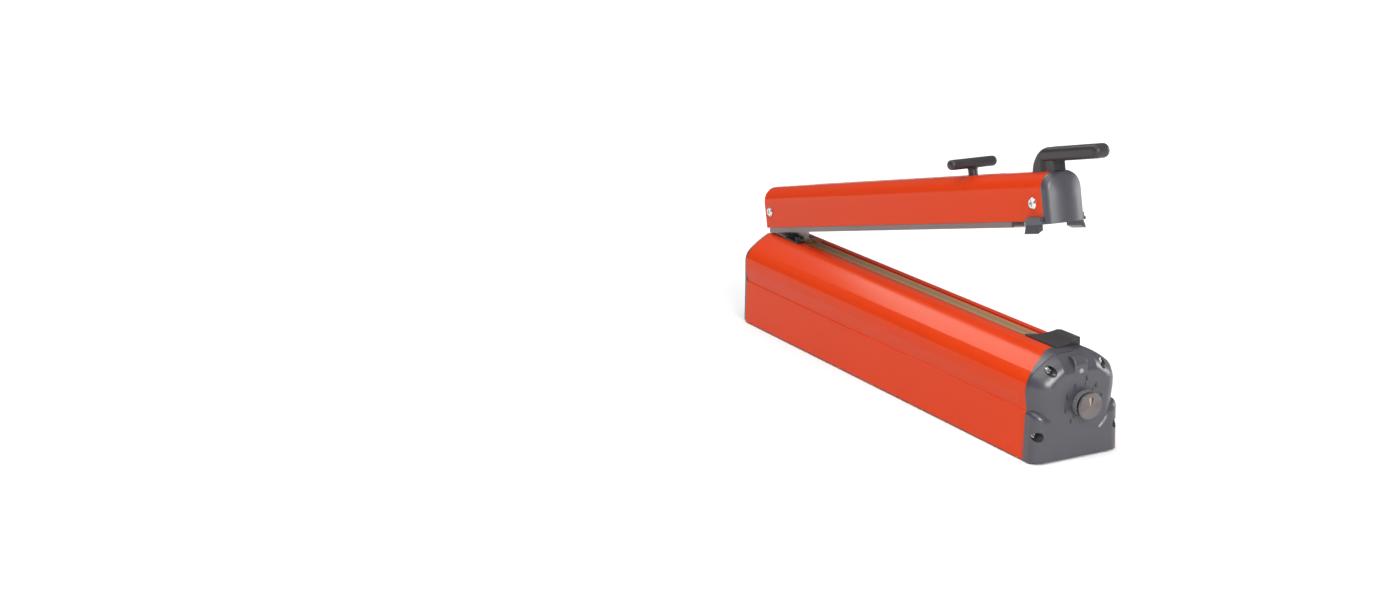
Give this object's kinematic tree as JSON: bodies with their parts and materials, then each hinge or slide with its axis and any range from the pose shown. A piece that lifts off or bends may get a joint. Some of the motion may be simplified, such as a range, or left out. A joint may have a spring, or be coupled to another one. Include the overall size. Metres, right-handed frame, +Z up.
{
  "type": "impulse heat sealer",
  "caption": "Table-top impulse heat sealer with a hinged arm on a long arched housing, a taped heating strip, a sliding knife with a T knob and a timer knob on its end cap.",
  "frame": {"origin": "on the table under the middle of the open machine's bounding box", "axes": "+X towards the timer and handle end, +Y across the machine, +Z up"},
  "size_m": [0.5864, 0.1008, 0.3012],
  "materials": {
    "orange_coat": "orange powder coat on extruded aluminium",
    "grey_moulding": "fine grained grey moulding",
    "dark_moulding": "satin dark grey moulding",
    "black_moulding": "black moulding",
    "bare_aluminium": "plain extruded aluminium",
    "knob_metal": "spun aluminium",
    "plated_steel": "zinc plated sheet steel",
    "plated_screws": "bright zinc plated screws",
    "spring_steel": "spring steel",
    "foot_rubber": "black rubber",
    "soft_silicone": "soft silicone",
    "ptfe_glass_cloth": "PTFE coated glass cloth",
    "heating_alloy": "resistance ribbon",
    "brass_clamps": "plain brass",
    "core_steel": "varnished laminations",
    "winding": "taped copper winding",
    "board": "green circuit board",
    "pot_case": "stamped case",
    "lamp_clear": "clear lens"
  },
  "bodies": {
    "base": {"housing": "orange_coat", "bottom_plate": "plated_steel", "bottom_screws": "plated_screws", "rubber_feet": "foot_rubber", "front_cap": "grey_moulding", "front_cap_screws": "plated_screws", "rear_cap": "grey_moulding", "rear_cap_screws": "plated_screws", "cable_gland": "black_moulding", "indicator_lens": "lamp_clear", "front_saddle": "dark_moulding", "element_bed": "soft_silicone", "heating_wire": "heating_alloy", "ptfe_tape": "ptfe_glass_cloth", "rear_terminal": "brass_clamps", "front_terminal": "brass_clamps", "hinge_bracket": "plated_steel", "bracket_screws": "plated_screws", "lift_springs": "spring_steel", "switch_guide": "black_moulding", "microswitch": "black_moulding", "transformer_core": "core_steel", "transformer_winding": "winding", "transformer_screws": "plated_screws", "timer_board": "board", "potentiometer": "pot_case", "pot_nut": "plated_screws"},
    "arm": {"arm_cover": "orange_coat", "pressure_bar": "bare_aluminium", "silicone_strip": "soft_silicone", "hinge_block": "black_moulding", "hinge_pin": "plated_screws", "hinge_screw": "plated_screws", "arm_nose": "grey_moulding", "nose_screws": "plated_screws", "handle": "dark_moulding"},
    "cutter_slider": {"cutter_carriage": "black_moulding"},
    "cutter_press": {"cutter_knob": "dark_moulding", "cutter_blade": "spring_steel"},
    "timer_dial": {"timer_knob": "black_moulding", "knob_cap": "knob_metal", "timer_shaft": "spring_steel"},
    "arm_switch_button": {"switch_plunger": "black_moulding"}
  },
  "joints": [
    {"name": "arm_hinge", "type": "hinge", "parent": "base", "child": "arm", "pos_m": [-0.27484, 0, 0.126], "axis": [0, 1, 0], "range_deg": [0, 12.6], "stiffness_Nm_per_rad": 8, "springref_deg": -28.65, "deforming": ["lift_springs"]},
    {"name": "cutter_slide", "type": "slide", "parent": "arm", "child": "cutter_slider", "axis": [0.9759, 0, 0.2181], "range_m": [-0.3, 0.05]},
    {"name": "cutter_push", "type": "slide", "parent": "cutter_slider", "child": "cutter_press", "axis": [0.2181, 0, -0.9759], "range_m": [0, 0.005], "stiffness_N_per_m": 400, "springref_m": -0.004},
    {"name": "timer_turn", "type": "hinge", "parent": "base", "child": "timer_dial", "pos_m": [0.27326, 0.004, 0.0535], "axis": [1, 0, 0], "range_deg": [-140, 140]},
    {"name": "arm_switch_press", "type": "slide", "parent": "base", "child": "arm_switch_button", "axis": [0, 0, -1], "range_m": [0, 0.0019]}
  ],
  "couplings": [
    {"joint": "arm_switch_press", "follows": "arm_hinge", "m_per_rad": 0.008631}
  ]
}
